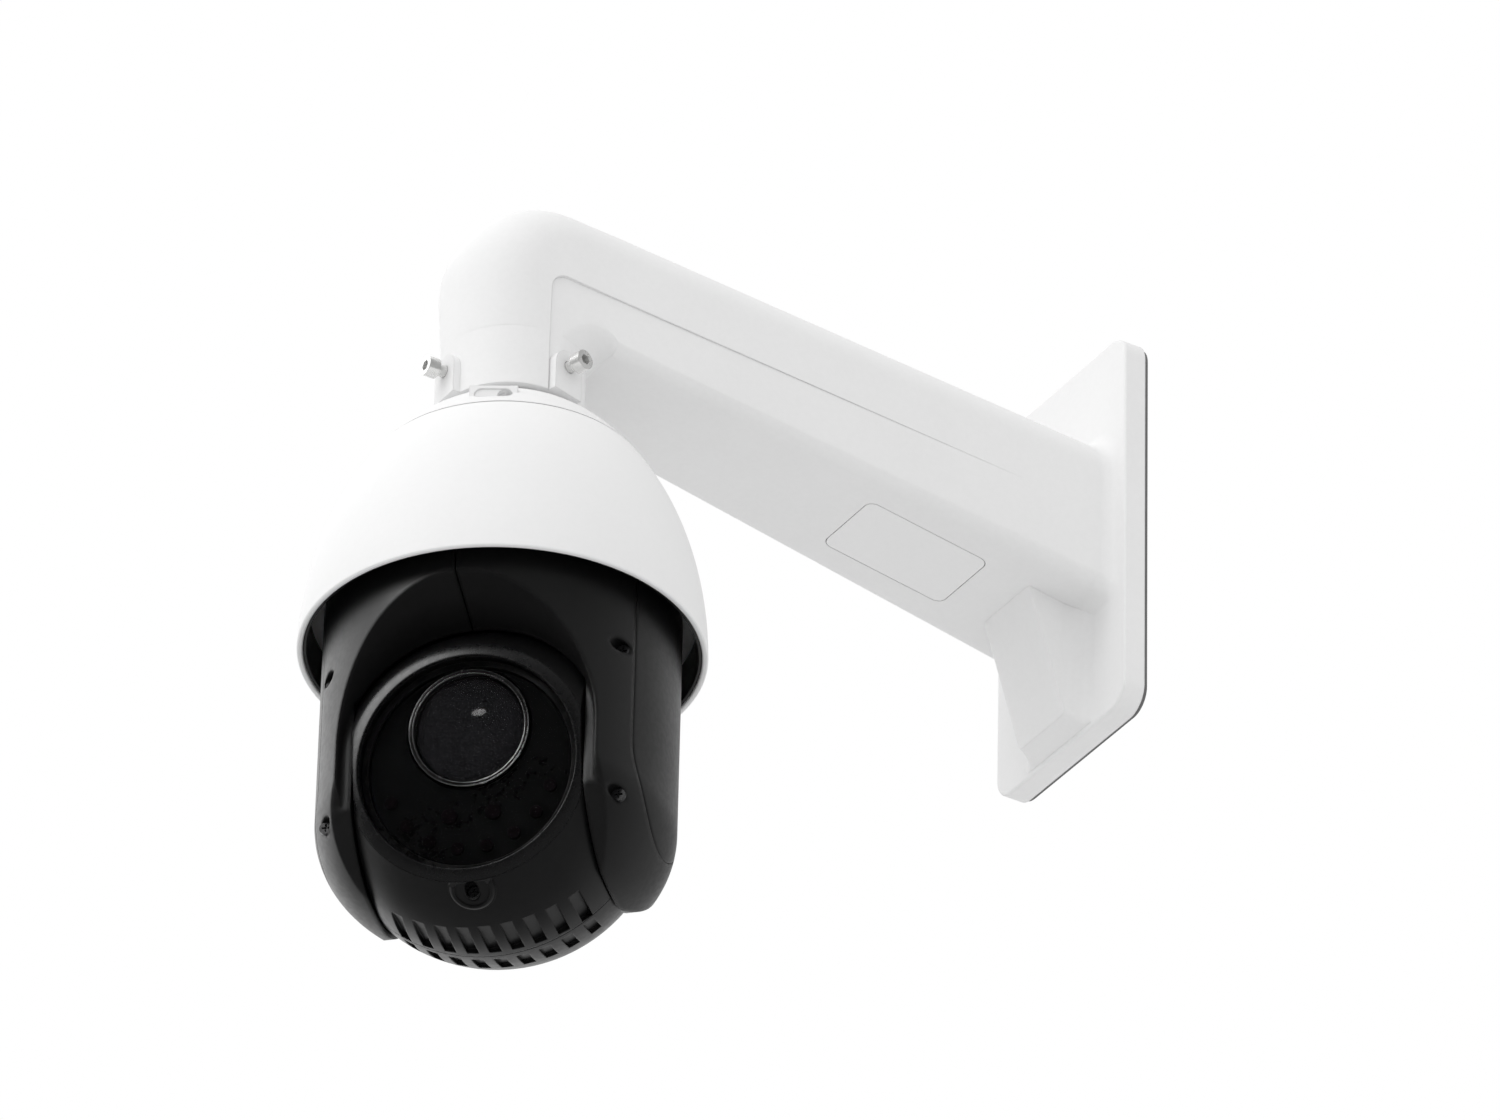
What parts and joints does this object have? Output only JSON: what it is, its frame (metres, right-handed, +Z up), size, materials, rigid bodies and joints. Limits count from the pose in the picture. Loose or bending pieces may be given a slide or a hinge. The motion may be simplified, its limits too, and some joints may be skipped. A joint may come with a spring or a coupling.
{
  "type": "security camera",
  "caption": "Pan-tilt dome security camera on a wall bracket: white arm and cowl over a black turning yoke that carries a tilting ball with a dark window and lens.",
  "frame": {"origin": "centre of the bracket's back face, on the wall", "axes": "+Y into the wall, -Y out of the wall along the arm, +Z up, +X to the right seen from the wall's room side"},
  "size_m": [0.1644, 0.3582, 0.363],
  "materials": {
    "white_coat": "white powder coat on a die casting",
    "white_plastic": "white satin moulding",
    "black_plastic": "black satin moulding",
    "black_gloss": "black gloss moulding",
    "black_metal": "black anodised",
    "natural_plastic": "natural acetal",
    "window": "dark tinted flat glass",
    "lens": "coated lens glass",
    "steel": "zinc-plated",
    "bearing_steel": "ground",
    "plate": "mill finish sheet",
    "rubber": "grey seal rubber",
    "board": "green solder resist",
    "led": "dark clear resin",
    "motor": "dark lacquered motor can"
  },
  "bodies": {
    "bracket": {"bracket_casting": "white_coat", "wall_gasket": "rubber", "cable_cover": "white_plastic", "clamp_screws": "steel", "top_cap": "white_coat", "lock_screw": "steel", "cap_seal": "rubber", "cowl": "white_plastic", "cap_screws": "steel", "cowl_liner": "black_plastic", "chassis_plate": "plate", "chassis_screws": "steel", "board_standoffs": "steel", "main_board": "board", "pan_shaft": "steel", "slip_ring": "black_plastic", "pan_gear": "natural_plastic", "bearing_inner_ring": "bearing_steel"},
    "pan_head": {"bearing_outer_ring": "bearing_steel", "bearing_balls": "bearing_steel", "turntable": "black_metal", "turntable_screws": "steel", "pan_motor": "motor", "yoke_front_left": "black_plastic", "yoke_front_right": "black_plastic", "yoke_rear_shell": "black_plastic", "yoke_screws": "steel", "tilt_bracket_left": "plate", "tilt_bracket_right": "plate", "tilt_bushings": "natural_plastic", "tilt_motor": "motor"},
    "pan_drive": {"pan_pinion": "natural_plastic"},
    "tilt_drive": {"tilt_pinion": "natural_plastic"},
    "tilt_ball": {"ball_front_shell": "black_plastic", "ball_rear_shell": "black_plastic", "ball_screw": "steel", "window_glass": "window", "window_seal": "rubber", "front_frame": "black_gloss", "infrared_board": "board", "infrared_leds": "led", "lens_hood": "black_metal", "lens_barrel": "black_metal", "front_lens": "lens", "camera_block": "black_metal", "sensor_board": "board", "tilt_gear": "natural_plastic", "tilt_axle_left": "steel", "tilt_axle_right": "steel"},
    "zoom": {"zoom_group": "lens"},
    "focus": {"focus_group": "lens"},
    "filter": {"filter_slide": "black_plastic"}
  },
  "joints": [
    {"name": "pan", "type": "hinge", "parent": "bracket", "child": "pan_head", "pos_m": [0, -0.276, -0.13], "axis": [0, 0, 1], "continuous": true},
    {"name": "pan_pinion_spin", "type": "hinge", "parent": "pan_head", "child": "pan_drive", "pos_m": [-0.02632, -0.24922, -0.09], "axis": [0, 0, 1], "continuous": true},
    {"name": "tilt", "type": "hinge", "parent": "pan_head", "child": "tilt_ball", "pos_m": [0, -0.276, -0.205], "axis": [0.7133, 0.7009, 0], "range_deg": [-27, 78]},
    {"name": "tilt_pinion_spin", "type": "hinge", "parent": "pan_head", "child": "tilt_drive", "pos_m": [0, -0.276, -0.18095], "axis": [0.7133, 0.7009, 0], "range_deg": [-315, 111]},
    {"name": "zoom_slide", "type": "slide", "parent": "tilt_ball", "child": "zoom", "axis": [0.6856, -0.6977, -0.2079], "range_m": [-0.006, 0.009]},
    {"name": "focus_slide", "type": "slide", "parent": "tilt_ball", "child": "focus", "axis": [0.6856, -0.6977, -0.2079], "range_m": [-0.004, 0.004]},
    {"name": "filter_shift", "type": "slide", "parent": "tilt_ball", "child": "filter", "axis": [0.7133, 0.7009, 0], "range_m": [0, 0.008]}
  ],
  "couplings": [
    {"joint": "pan_pinion_spin", "follows": "pan", "ratio": 4},
    {"joint": "tilt_pinion_spin", "follows": "tilt", "ratio": -4}
  ]
}
